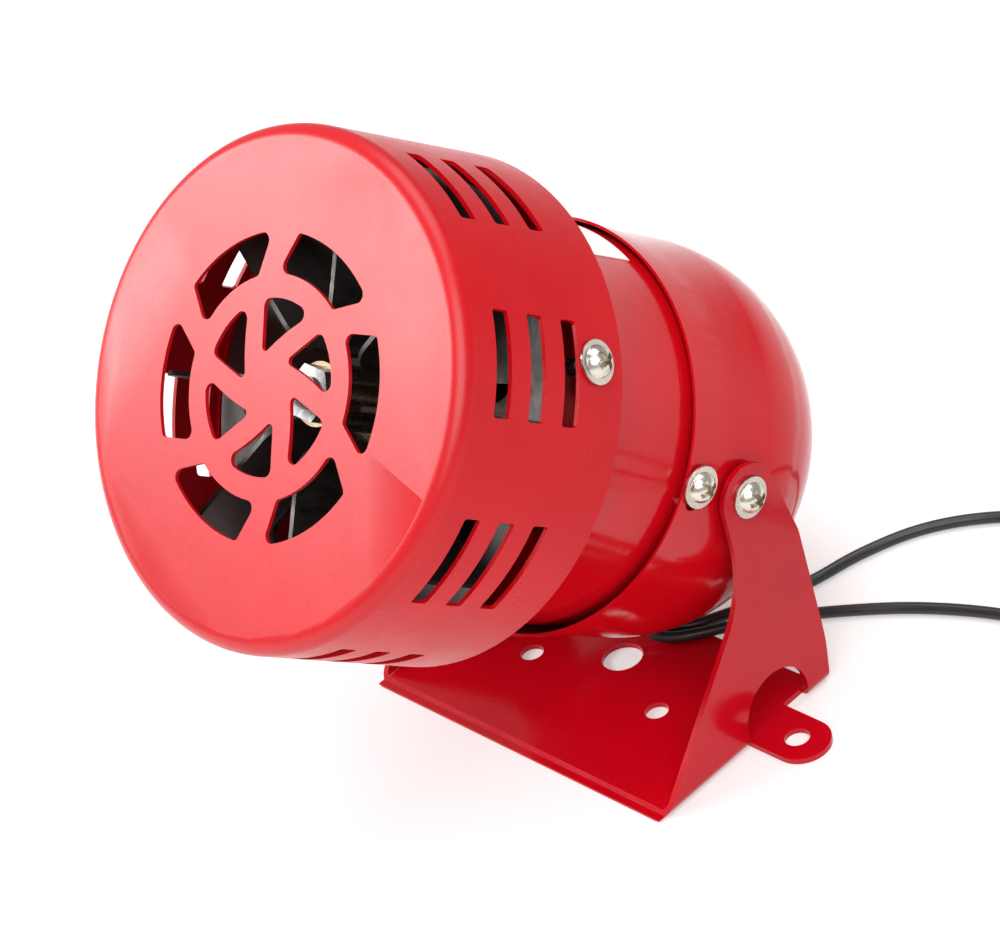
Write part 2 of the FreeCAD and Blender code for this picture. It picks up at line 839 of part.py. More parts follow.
def make_commutator():
    body = tube(commutator_radius, shaft_radius, commutator_front, commutator_rear)
    body = body.fuse(tube(riser_radius, shaft_radius, commutator_front, commutator_front + riser_thick))
    gap = block(
        commutator_radius - 0.8, riser_radius + 1, -bar_gap / 2, bar_gap / 2,
        commutator_front - 1, commutator_rear + 1,
    )
    return body.cut(around(gap, armature_slots, 15))


def make_impeller():
    """A pressed disc with its blades turned forward out of it."""
    rear = impeller_disc + impeller_thick
    disc = tube(impeller_radius, shaft_radius + 1.5, impeller_disc, rear)
    blade = block(
        blade_inner, impeller_radius - 0.4, -impeller_thick / 2, impeller_thick / 2,
        blade_front, impeller_disc,
    )
    blade = blade.makeFillet(5.0, [e for e in blade.Edges if is_blade_corner(e)])
    blade.rotate(at(blade_inner, 0, 0), Vector(0, 0, 1), -blade_skew)
    blade = blade.common(rod(impeller_radius - 0.4, 0, impeller_disc))
    window = block(
        blade_inner + 3, impeller_radius - 5, impeller_thick, 5 + impeller_thick,
        impeller_disc - 1, rear + 1,
    )
    window = window.makeFillet(2.0, [e for e in window.Edges if along_z(e)])
    window.rotate(at(blade_inner, 0, 0), Vector(0, 0, 1), -blade_skew)
    disc = disc.cut(around(window, blade_count))
    return disc.fuse(around(blade, blade_count))


def is_blade_corner(edge):
    box = edge.BoundBox
    return abs(box.YLength - impeller_thick) < 1e-6 and box.ZMax < blade_front + 1e-6 and box.XLength < 1e-6


def make_hub():
    """The brass hub, in two diameters: the disc is clamped against its shoulder."""
    hub = rod(hub_radius, impeller_disc + impeller_thick, hub_rear)
    hub = hub.fuse(rod(shaft_radius + 1.5, impeller_disc - 1.6, impeller_disc + impeller_thick))
    hub = hub.fuse(rod(hub_boss, hub_front, impeller_disc - 1.6))
    hub = hub.fuse(tube(hub_radius, shaft_radius + 1.5, impeller_disc - 1.6, impeller_disc))
    return hub.cut(rod(shaft_radius, hub_front - 1, hub_rear + 1)).removeSplitter()


# ---------------------------------------------------------------- leads
def grommet_frame():
    """Placement of the grommet: its local Z points out of the dome."""
    centre, way = grommet_axis()
    across = Rotation(Vector(0, 0, 1), grommet_turn)
    return Placement(centre, Rotation(Vector(0, 0, 1), way).multiply(across))


def make_grommet():
    body = Part.makeCylinder(grommet_hole, dome_wall + 2 * grommet_lip, Vector(0, 0, -dome_wall - grommet_lip))
    body = body.fuse(Part.makeCylinder(grommet_flange, grommet_lip, Vector(0, 0, 0.25)))
    body = body.fuse(Part.makeCylinder(grommet_flange, grommet_lip, Vector(0, 0, -dome_wall - 0.45 - grommet_lip)))
    for sign in (-1, 1):
        hole = Part.makeCylinder(lead_radius, 12, Vector(sign * lead_pitch / 2, 0, -6))
        body = body.cut(hole)
    body.Placement = grommet_frame()
    return body


def lead_run(points, radius, name):
    """A round lead along straight runs joined by tangent arcs."""
    count = len(points)
    corners = [(points[0], 0)]
    tightest = 1e9
    for i in range(1, count - 1):
        before = points[i] - points[i - 1]
        after = points[i + 1] - points[i]
        turn = before.getAngle(after)
        bend = 0.45 * min(before.Length, after.Length) / math.tan(turn / 2)
        tightest = min(tightest, bend)
        print("%s turn %5.1f deg, radius %6.2f" % (name, math.degrees(turn), bend))
        corners.append((points[i], bend))
    corners.append((points[-1], 0))
    path = rounded(corners, closed=False)
    way = (points[1] - points[0]).normalize()
    ring = Part.Wire(Part.makeCircle(radius, points[0], way))
    solid = path.makePipeShell([ring], True, False)
    print("%s length %.1f, tightest radius %.2f, volume over section x length %.4f" % (
        name, path.Length, tightest, solid.Volume / (math.pi * radius ** 2 * path.Length)))
    return solid


def main():
    export("bracket", [make_bracket()])

    export("front_cover", [make_cover()], front_place)
    export("mid_housing", [make_housing()], front_place)
    export("rear_dome", [make_dome()], dome_place)
    export("rating_label", [make_label()], front_place)

    cover_seat = cover_radius + 0.02
    screw = moved(pan_screw(cover_seat, cover_screw_length, shank), Vector(0, 0, cover_screw_station))
    export("cover_screws", around(screw, cover_screw_count, cover_screw_clock), front_place)
    lip_slope = (dome_lip_radius - dome_radius) / (dome_lip_end - dome_lip)
    dome_seat = dome_lip_radius - lip_slope * (dome_screw_station - flange_radius - dome_lip)
    screw = moved(pan_screw(dome_seat, dome_screw_length, shank), Vector(0, 0, dome_screw_station))
    export("dome_screws", [screw, mirrored(screw)], front_place)
    screw = moved(pan_screw(arm_outside + 0.02, pivot_screw_length, pivot_shank), Vector(0, 0, pivot_station))
    export("pivot_screws", [screw, mirrored(screw)], dome_place)

    out = Vector(1, 0, 0)
    washer_place = at(dome_radius + 0.01, 0, pivot_station)
    washer_thick = arm_inside - dome_radius - 0.03
    washer = Part.makeCylinder(flange_radius, washer_thick, washer_place, out)
    washer = washer.cut(Part.makeCylinder(pivot_shank, 4, at(dome_radius - 1, 0, pivot_station), out))
    export("pivot_washers", [washer, mirrored(washer)], dome_place)
    nut_face = math.sqrt((dome_radius - dome_wall) ** 2 - (pivot_nut_width / 1.7) ** 2) - 0.02
    nut = hexagon(pivot_nut_width, pivot_nut_thick, 0)
    nut = nut.cut(rod(pivot_shank, -1, pivot_nut_thick + 1))
    nut.rotate(Vector(0, 0, 0), Vector(0, 1, 0), -90)
    nut = moved(nut, at(nut_face, 0, pivot_station))
    export("pivot_nuts", [nut, mirrored(nut)], dome_place)

    export("front_bearing_plate", [make_bearing_plate()], front_place)
    export("plate_screws", around(make_plate_screw(), plate_screw_count, 45), front_place)
    bore = shaft_radius + bush_clearance
    export("front_bearing", [tube(bush_radius, bore, boss_front, boss_rear)], front_place)
    export("rear_bearing", [tube(bush_radius, bore, rear_boss_front, rear_boss_rear)], front_place)
    export_motor("field_core", [make_core()])
    export_motor("field_coil_left", [make_coil()])
    export_motor("field_coil_right", [clock(make_coil(), 180)])
    export_motor("through_bolts", around(make_bolt(), 2))
    bolt_end = rear_bar_front + rear_bar_thick
    nut = hexagon(nut_width, nut_thick, bolt_end, bolt_circle)
    nut = nut.cut(rod(bolt_radius, bolt_end - 1, bolt_end + nut_thick + 1, bolt_circle))
    export_motor("through_bolt_nuts", around(nut, 2))
    export_motor("core_spacers", make_spacers())
    export_motor("rear_bearing_bar", [make_rear_bar()])
    export_motor("brush_plate", [make_brush_plate()])
    export_motor("brush_plate_rivets", around(make_rivet(), 2))

    brush = upright(brush_half, commutator_radius + brush_lift, brush_out)
    cap = upright(brush_holder_half, brush_holder_out, brush_holder_out + brush_cap_thick)
    for side, angle in (("left", 0), ("right", 180)):
        export_motor("brush_holder_" + side, [clock(make_brush_holder(), angle)])
        export_motor("brush_" + side, [clock(brush, angle)])
        export_motor("brush_spring_" + side, [clock(make_spring(), angle)])
        export_motor("brush_cap_" + side, [clock(cap, angle)])

    export("rotor_shaft", [rod(shaft_radius, shaft_front, shaft_rear)], front_place)
    export("armature_core", [make_armature()], front_place)
    export("armature_windings", [make_windings()], front_place)
    export("commutator", [make_commutator()], front_place)
    front_washer = tube(bush_radius - 0.5, shaft_radius, boss_rear + 0.1, winding_front)
    rear_washer = tube(bush_radius - 0.5, shaft_radius, commutator_rear, rear_boss_front - 0.1)
    export("thrust_washers", [front_washer, rear_washer], front_place)
    export("impeller", [make_impeller()], front_place)
    export("impeller_hub", [make_hub()], front_place)
    nut_front = hub_front - impeller_nut_thick
    nut = hexagon(impeller_nut_width, impeller_nut_thick, nut_front)
    export("impeller_nut", [nut.cut(rod(shaft_radius, nut_front - 1, hub_front + 1))], front_place)

    export("lead_grommet", [make_grommet()], dome_place)
    make_leads()


def make_leads():
    """Both supply leads: inside the dome from the motor to the grommet, then out and along the ground."""
    frame = dome_place.multiply(grommet_frame())
    depth = dome_wall + grommet_lip + 0.45
    face = grommet_lip + 0.25

    def through(side, height):
        return frame.multVec(Vector(side * lead_pitch / 2, 0, height))

    leads = (
        ("lead_a", -1, lead_a_route()),
        ("lead_b", 1, lead_b_route()),
    )
    for name, side, route in leads:
        points = [through(side, -depth), through(side, face + 1.2)]
        points = points + route
        export(name, [lead_run(points, lead_radius, name)])
        end = points[-1]
        way = (points[-1] - points[-2]).normalize()
        export(name + "_tip", [Part.makeCylinder(tip_radius, tip_length, end, way)])

    coil_middle = (coil_low + coil_high) / 2
    coil_rear = core_rear + coil_gap + coil_build
    coil_side = pole_neck / 2 + coil_gap + coil_build / 2
    cap_outside = brush_holder_out + brush_cap_thick
    for name, side in (("inner_lead_a", -1), ("inner_lead_b", 1)):
        points = [
            at(side * coil_middle, -coil_side, coil_rear),
            at(side * (coil_middle + 1), -coil_side - 1.5, coil_rear + 4),
            at(side * (coil_middle + 1), -coil_side - 8, coil_rear + 9.5),
            at(side * (coil_middle - 7), -coil_side - 14.5, coil_rear + 18),
        ]
        points = [front_place.multVec(p) for p in points]
        points.append(through(side, -depth - 4.5))
        points.append(through(side, -depth))
        export(name, [lead_run(points, 0.8 * lead_radius, name)])
    for name, side in (("brush_wire_left", -1), ("brush_wire_right", 1)):
        points = [
            at(side * coil_middle, coil_side, coil_rear),
            at(side * (coil_middle + 1), coil_side, coil_rear + 3),
            at(side * (cap_outside + 2.2), coil_side - 4, coil_rear + 5),
            at(side * (cap_outside + 2.0), 0, brush_station),
            at(side * cap_outside, 0, brush_station),
        ]
        points = [front_place.multVec(p) for p in points]
        export(name, [lead_run(points, 0.6 * lead_radius, name)])


def lead_a_route():
    return [
        Vector(-0.1, 8.2, 3.3),
        Vector(2.5, 8.65, 2.2),
        Vector(6.4, 11.3, 2.15),
        Vector(9.5, 17.4, 1.7),
        Vector(12.6, 24.0, 1.05),
        Vector(15.6, 31.0, 1.05),
        Vector(17.6, 40.2, 1.05),
        Vector(23.0, 51.5, 1.05),
        Vector(33.5, 60.5, 1.05),
        Vector(47.0, 66.0, 1.05),
        Vector(62.0, 67.5, 1.05),
        Vector(76.5, 64.0, 1.05),
        Vector(88.5, 55.0, 1.05),
        Vector(97.0, 43.5, 1.05),
    ]


def lead_b_route():
    return [
        Vector(0.9, 5.6, 3.3),
        Vector(3.9, 6.0, 2.2),
        Vector(7.8, 9.0, 2.2),
        Vector(12.1, 14.6, 2.0),
        Vector(17.4, 21.2, 1.1),
        Vector(25.0, 27.4, 1.05),
        Vector(36.0, 34.6, 1.05),
        Vector(50.0, 40.4, 1.05),
        Vector(64.5, 43.0, 1.05),
        Vector(79.0, 40.5, 1.05),
        Vector(92.0, 33.0, 1.05),
        Vector(101.5, 21.5, 1.05),
        Vector(106.0, 8.0, 1.05),
    ]


main()
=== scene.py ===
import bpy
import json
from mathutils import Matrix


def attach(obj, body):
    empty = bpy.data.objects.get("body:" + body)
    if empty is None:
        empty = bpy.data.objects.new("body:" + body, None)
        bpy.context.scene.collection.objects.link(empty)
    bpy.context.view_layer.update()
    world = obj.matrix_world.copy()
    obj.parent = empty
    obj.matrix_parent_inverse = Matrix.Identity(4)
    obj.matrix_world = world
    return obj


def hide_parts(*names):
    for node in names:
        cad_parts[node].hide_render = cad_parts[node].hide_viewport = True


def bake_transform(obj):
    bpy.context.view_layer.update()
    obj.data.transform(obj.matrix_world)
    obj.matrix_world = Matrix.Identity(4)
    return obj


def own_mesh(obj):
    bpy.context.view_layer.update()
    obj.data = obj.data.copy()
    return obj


bl_info = {
    "name": "Alarm Siren",
    "version": (1, 0, 0),
    "blender": (4, 5, 0),
    "location": "View3D > Sidebar > Alarm Siren",
    "description": "Dresses the frame of a small motor-driven alarm siren: enamel, leads, screws and motor",
    "category": "Object",
}

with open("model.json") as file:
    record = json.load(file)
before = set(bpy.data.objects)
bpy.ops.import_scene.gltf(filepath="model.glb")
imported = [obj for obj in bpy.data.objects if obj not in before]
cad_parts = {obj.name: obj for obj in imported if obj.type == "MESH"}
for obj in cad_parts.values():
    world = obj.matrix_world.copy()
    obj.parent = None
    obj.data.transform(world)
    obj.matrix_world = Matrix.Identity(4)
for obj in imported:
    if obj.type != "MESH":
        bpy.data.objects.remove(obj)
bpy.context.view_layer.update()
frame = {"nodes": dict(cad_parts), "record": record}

import json
import math

import bpy
from bpy.props import FloatProperty, FloatVectorProperty, IntProperty, PointerProperty
from mathutils import Matrix, Vector

MM = 0.001
PIVOT = Vector((0.0, 7.1, 43.2)) * MM
TILT = math.radians(40.0)
AXIS = Vector((0.0, math.cos(TILT), -math.sin(TILT)))
HEAD_UP = Vector((0.0, math.sin(TILT), math.cos(TILT)))
PIVOT_STATION = 73.5
AXIS_STEP = 0.5

# Places on the siren head in mm: stations run back from the front face, and seats are reaches from the axis.
# FACE_INSIDE and SHELL_INSIDE bound the inside faces that get near-black painted shade; COVER_REAR and
# DOME_FRONT are the rims that get dark red painted shade.
FACE_INSIDE = 1.2
COVER_REAR = 34.5
DOME_FRONT = 59.0
SHELL_INSIDE = 26.0
COVER_SCREWS = {"clock": 25.5, "count": 3, "seat": 40.02, "station": 28.6}
DOME_SCREWS = {"clock": 0.0, "count": 2, "seat": 33.62, "station": 62.2}
PIVOT_SCREWS = {"clock": 0.0, "count": 2, "seat": 34.32, "station": PIVOT_STATION}
# The reach, floor and top of the screws' crosses, in mm, bound the painted shade inside the crosses.
RECESS_REACH = 1.75
RECESS_FLOOR = 0.75
RECESS_TOP = 1.7
BRUSH_STATION = 64.2
SPRING_FIXED = 20.0
SPRING_FREE = 15.0
SPRING_RADIUS = 0.0020

# The rounded parts of the turned outlines, in mm: the middle's reach and station, and the radius.
COVER_ARCS = ((37.4, 2.6, 2.6), (37.4, 2.6, 1.9))
DOME_ARCS = ((2.8, 78.0, 29.9), (2.8, 78.0, 29.4), (0.0, 74.986, 34.014), (0.0, 74.986, 33.514))

# The haze of the face's coat ends over the cover's rounded edge; m behind the face.
HAZE_END = (0.0006, 0.0030)

# Camera, with its angles in degrees and its lengths in m, but the lens in mm.
CAMERA_AZIMUTH = 55.244
CAMERA_HEIGHT = 35.237
CAMERA_ROLL = 16.6
CAMERA_TARGET = (-0.027338, 0.0074, 0.027207)
CAMERA_DISTANCE = 0.729824
CAMERA_LENS = 156.924
CAMERA_SHIFT = (-0.0041, -0.0030)

# Lights, in m.
MIDDLE = (0.0, -0.01, 0.045)
GRILLE = (0.0, -0.042, 0.092)
FACE_MIRROR = (-0.671, -0.649, 0.359)
FACE_MIRROR_LIFT = 0.157
FACE_SOFTBOX_AWAY = 0.70

# ------------------------------------------------------------------ settings


def colour_setting(name, description, default):
    return FloatVectorProperty(
        name=name, description=description, subtype="COLOR", size=3, min=0.0, max=1.0, default=default,
    )


def length_setting(name, description, default):
    return FloatProperty(
        name=name, description=description, unit="LENGTH", min=0.0, default=default, precision=5,
    )


def strength_setting(name, description, default):
    return FloatProperty(name=name, description=description, min=0.0, default=default)


def power_setting(name, description, default):
    return FloatProperty(name=name, description=description, unit="POWER", min=0.0, default=default)


def count_setting(name, description, low, high, default):
    return IntProperty(name=name, description=description, min=low, max=high, default=default)


class SirenColours(bpy.types.PropertyGroup):
    shell: colour_setting("Shell enamel", "Red of the cover, the sleeve and the dome", (0.52, 0.002, 0.007))
    bracket: colour_setting("Bracket enamel", "Deeper red of the folded bracket", (0.47, 0.001, 0.008))
    # The inside faces' colour is painted shade: near-black on the shells' insides and the grille's back, so
    # that the gaps and openings read dark.
    inner: colour_setting("Inner enamel", "Thin dull overspray inside the shells", (0.055, 0.003, 0.004))
    # The edge colour is painted shade: dark red on the cut edges, the cover's rear rim, the dome's lip and
    # the bracket's front edge.
    edge: colour_setting("Edge enamel", "Thick enamel on the sheets' cut edges", (0.17, 0.001, 0.004))
    nickel: colour_setting("Nickel", "Plating of the screws", (0.70, 0.65, 0.57))
    steel: colour_setting("Bright steel", "Plain steel of the shaft and the bolts", (0.34, 0.34, 0.34))
    impeller: colour_setting("Impeller steel", "Pressed sheet of the impeller", (0.16, 0.15, 0.145))
    iron: colour_setting("Core iron", "Stacked sheets of the field and the armature", (0.20, 0.19, 0.19))
    copper: colour_setting("Copper", "Commutator bars and bare wires", (0.72, 0.32, 0.18))
    wire: colour_setting("Enamelled wire", "Field coils and armature windings", (0.36, 0.10, 0.03))
    brass: colour_setting("Brass", "Hub, brush holders and caps", (0.30, 0.22, 0.14))
    bronze: colour_setting("Bronze", "Porous bearing bushes", (0.38, 0.24, 0.12))
    insulation: colour_setting("Lead insulation", "Soft black sleeve of the leads", (0.010, 0.010, 0.011))
    rubber: colour_setting("Grommet rubber", "Black rubber of the lead grommet", (0.014, 0.014, 0.014))
    label: colour_setting("Label", "Plain film label on the sleeve", (0.90, 0.89, 0.88))
    tin: colour_setting("Tinned copper", "Bare twisted ends of the leads", (0.66, 0.62, 0.58))
    carbon: colour_setting("Carbon", "Brushes", (0.022, 0.022, 0.025))
    phenolic: colour_setting("Phenolic", "Brush plate", (0.12, 0.045, 0.018))


class SirenSizes(bpy.types.PropertyGroup):
    lead: length_setting("Lead diameter", "Outside diameter of each lead", 0.0020)
    lead_a_length: length_setting("Lead A length", "Real length of the first lead", 0.1446)
    lead_b_length: length_setting("Lead B length", "Real length of the second lead", 0.1414)
    strand: length_setting("Strand diameter", "One strand of a bare lead end", 0.00040)
    strand_length: length_setting("Bare end", "Length of a bare lead end", 0.0070)
    strands: count_setting("Strands", "Strands twisted round the middle one", 3, 12, 6)
    sheet_edge: length_setting("Sheet edge", "Rounding of the enamelled sheet's edges", 0.00020)
    screw_edge: length_setting("Screw edge", "Rounding of the screws' edges", 0.00012)
    spring_wire: length_setting("Spring wire", "Thickness of the brush springs' wire", 0.00045)
    spring_turns: count_setting("Spring turns", "Turns of a brush spring", 3, 20, 6)


class SirenStage(bpy.types.PropertyGroup):
    floor: colour_setting("Floor", "Plain pale floor", (0.66, 0.66, 0.66))
    floor_glow: strength_setting("Floor light", "How much the floor lights itself", 0.30)
    world: strength_setting("Room light", "Strength of the soft light all round", 0.45)
    key: power_setting("Large softbox", "Power of the softbox over the camera", 7.4)
    veil: power_setting("Face softbox", "Power of the softbox that the face mirrors", 3.8)
    top: power_setting("Top softbox", "Power of the softbox overhead", 6.0)


# ------------------------------------------------------------------ places


def head_point(across, up, station):
    """A place in the siren head, in mm: across the axis, up from it, and behind the front face."""
    lift = HEAD_UP * ((up + AXIS_STEP) * MM)
    return PIVOT + Vector((across * MM, 0, 0)) + lift + AXIS * ((station - PIVOT_STATION) * MM)


def deselect():
    if bpy.context.object is not None and bpy.context.object.mode != "OBJECT":
        bpy.ops.object.mode_set(mode="OBJECT")
    bpy.ops.object.select_all(action="DESELECT")


def pick(*pieces):
    deselect()
    for piece in pieces:
        piece.select_set(True)
    bpy.context.view_layer.objects.active = pieces[0]


def modify(piece, kind, **settings):
    pick(piece)
    modifier = piece.modifiers.new(kind.title(), kind)
    for key, value in settings.items():
        setattr(modifier, key, value)
    bpy.ops.object.modifier_apply(modifier=modifier.name)


def dress(piece, material):
    piece.data.materials.clear()
    piece.data.materials.append(material)


def join(pieces, name):
    pick(*pieces)
    bpy.ops.object.join()
    piece = bpy.context.object
    piece.name = name
    piece.data.name = name
    return piece


# ------------------------------------------------------------------ finishes


def shader(name):
    """A new material and the parts of it that every finish shares."""
    material = bpy.data.materials.new(name)
    material.use_nodes = True
    tree = material.node_tree
    principled = tree.nodes["Principled BSDF"]
    place = tree.nodes.new("ShaderNodeTexCoord")
    return material, tree, principled, place.outputs["Object"]


def noise(tree, place, scale, detail=3.0, roughness=0.5, stretch=None, turn=None):
    node = tree.nodes.new("ShaderNodeTexNoise")
    node.inputs["Scale"].default_value = scale
    node.inputs["Detail"].default_value = detail
    node.inputs["Roughness"].default_value = roughness
    if stretch or turn:
        mapping = tree.nodes.new("ShaderNodeMapping")
        if turn:
            mapping.inputs["Rotation"].default_value = turn
        if stretch:
            mapping.inputs["Scale"].default_value = stretch
        tree.links.new(place, mapping.inputs["Vector"])
        place = mapping.outputs["Vector"]
    tree.links.new(place, node.inputs["Vector"])
    return node.outputs["Fac"]


def ramp(tree, value, low, high, from_value=0.3, to_value=0.7):
    node = tree.nodes.new("ShaderNodeMapRange")
    node.inputs["From Min"].default_value = from_value
    node.inputs["From Max"].default_value = to_value
    node.inputs["To Min"].default_value = low
    node.inputs["To Max"].default_value = high
    tree.links.new(value, node.inputs["Value"])
    return node.outputs["Result"]


def blend_colours(tree, value, first, second):
    node = tree.nodes.new("ShaderNodeMix")
    node.data_type = "RGBA"
    node.inputs["A"].default_value = (*first, 1.0)
    node.inputs["B"].default_value = (*second, 1.0)
    tree.links.new(value, node.inputs["Factor"])
    return node.outputs["Result"]


def bump(tree, height, strength, distance, normal=None):
    node = tree.nodes.new("ShaderNodeBump")
    node.inputs["Strength"].default_value = strength
    node.inputs["Distance"].default_value = distance
    tree.links.new(height, node.inputs["Height"])
    if normal is not None:
        tree.links.new(normal, node.inputs["Normal"])
    return node.outputs["Normal"]


def shade(colour, factor):
    return tuple(min(1.0, c * factor) for c in colour)


def enamel(name, colour, roughness, level, coat, coat_roughness, haze=None):
    """Sprayed enamel: a soft orange peel, a little dust in the coat and a slow drift in its depth.

    Haze is the coat's weight on the front face, where it differs from the rest."""
    material, tree, principled, place = shader(name)
    drift = ramp(tree, noise(tree, place, 38, 3.0, 0.55), 0.0, 1.0)
    specks = ramp(tree, noise(tree, place, 3400, 1.0, 0.4), 0.0, 1.0, 0.66, 0.76)
    base = blend_colours(tree, drift, shade(colour, 0.90), shade(colour, 1.07))
    mix = tree.nodes.new("ShaderNodeMix")
    mix.data_type = "RGBA"
    mix.inputs["B"].default_value = (min(1.0, colour[0] * 1.15), colour[1] + 0.05, colour[2] + 0.05, 1.0)
    scale = tree.nodes.new("ShaderNodeMath")
    scale.operation = "MULTIPLY"
    scale.inputs[1].default_value = 0.16
    tree.links.new(specks, scale.inputs[0])
    tree.links.new(scale.outputs[0], mix.inputs["Factor"])
    tree.links.new(base, mix.inputs["A"])
    tree.links.new(mix.outputs["Result"], principled.inputs["Base Color"])
    rough = ramp(tree, noise(tree, place, 120, 4.0, 0.6), roughness * 0.85, roughness * 1.2)
    tree.links.new(rough, principled.inputs["Roughness"])
    peel = bump(tree, noise(tree, place, 620, 2.0, 0.45), 0.10, 0.0002)
    fine = bump(tree, noise(tree, place, 2600, 1.0, 0.4), 0.05, 0.00005, peel)
    tree.links.new(fine, principled.inputs["Normal"])
    principled.inputs["Coat Weight"].default_value = coat
    if haze is not None:
        along = tree.nodes.new("ShaderNodeVectorMath")
        along.operation = "DOT_PRODUCT"
        along.inputs[1].default_value = AXIS
        tree.links.new(place, along.inputs[0])
        face = PIVOT.dot(AXIS) - PIVOT_STATION * MM
        clear = ramp(tree, along.outputs["Value"], haze, coat, face + HAZE_END[0], face + HAZE_END[1])
        tree.links.new(clear, principled.inputs["Coat Weight"])
    principled.inputs["Coat Roughness"].default_value = coat_roughness
    principled.inputs["Specular IOR Level"].default_value = level
    return material


def metal(name, colour, roughness, grain=900, stretch=(1, 1, 1), turn=None, depth=0.06, tarnish=0.8):
    """Bare or plated metal: drawn grain, small scratches and a faint tarnish."""
    material, tree, principled, place = shader(name)
    principled.inputs["Metallic"].default_value = 1.0
    cloud = ramp(tree, noise(tree, place, 160, 4.0, 0.6), 0.0, 1.0)
    base = blend_colours(tree, cloud, shade(colour, tarnish), shade(colour, 1.06))
    tree.links.new(base, principled.inputs["Base Color"])
    lines = noise(tree, place, grain, 3.0, 0.6, stretch, turn)
    tree.links.new(ramp(tree, lines, roughness * 0.75, roughness * 1.35), principled.inputs["Roughness"])
    tree.links.new(bump(tree, lines, depth, 0.0001), principled.inputs["Normal"])
    return material


def polymer(name, colour, roughness, texture=1500, depth=0.08, lift=1.5, place_name=None):
    """Moulded or extruded plastic and rubber, with a fine tooth and a slow change in its gloss."""
    material, tree, principled, place = shader(name)
    if place_name:
        attribute = tree.nodes.new("ShaderNodeAttribute")
        attribute.attribute_name = place_name
        place = attribute.outputs["Vector"]
    cloud = ramp(tree, noise(tree, place, 110, 3.0, 0.6), 0.0, 1.0)
    tree.links.new(blend_colours(tree, cloud, colour, shade(colour, lift)), principled.inputs["Base Color"])
    gloss = ramp(tree, noise(tree, place, 260, 4.0, 0.65), roughness * 0.8, roughness * 1.25)
    tree.links.new(gloss, principled.inputs["Roughness"])
    tooth = noise(tree, place, texture, 2.0, 0.5)
    tree.links.new(bump(tree, tooth, depth, 0.0001), principled.inputs["Normal"])
    return material


def banded(name, colour, dark, metallic, roughness, bands, turn, depth=0.5, gloss_coat=0.0):
    """Fine parallel bands: the turns of a winding, or the stacked sheets of a core."""
    material, tree, principled, place = shader(name)
    mapping = tree.nodes.new("ShaderNodeMapping")
    mapping.inputs["Rotation"].default_value = turn
    tree.links.new(place, mapping.inputs["Vector"])
    wave = tree.nodes.new("ShaderNodeTexWave")
    wave.bands_direction = "Z"
    wave.inputs["Scale"].default_value = bands
    wave.inputs["Distortion"].default_value = 0.6
    wave.inputs["Detail"].default_value = 2.0
    wave.inputs["Detail Scale"].default_value = 1.5
    tree.links.new(mapping.outputs["Vector"], wave.inputs["Vector"])
    tree.links.new(blend_colours(tree, wave.outputs["Fac"], dark, colour), principled.inputs["Base Color"])
    principled.inputs["Metallic"].default_value = metallic
    rough = ramp(tree, noise(tree, place, 420, 3.0, 0.6), roughness * 0.8, roughness * 1.25)
    tree.links.new(rough, principled.inputs["Roughness"])
    tree.links.new(bump(tree, wave.outputs["Fac"], depth, 0.0001), principled.inputs["Normal"])
    principled.inputs["Coat Weight"].default_value = gloss_coat
    return material


def head_turn():
    """Turns a pattern so that its Z runs along the siren's axis."""
    return (math.radians(90.0) + TILT, 0.0, 0.0)


finishes = {}


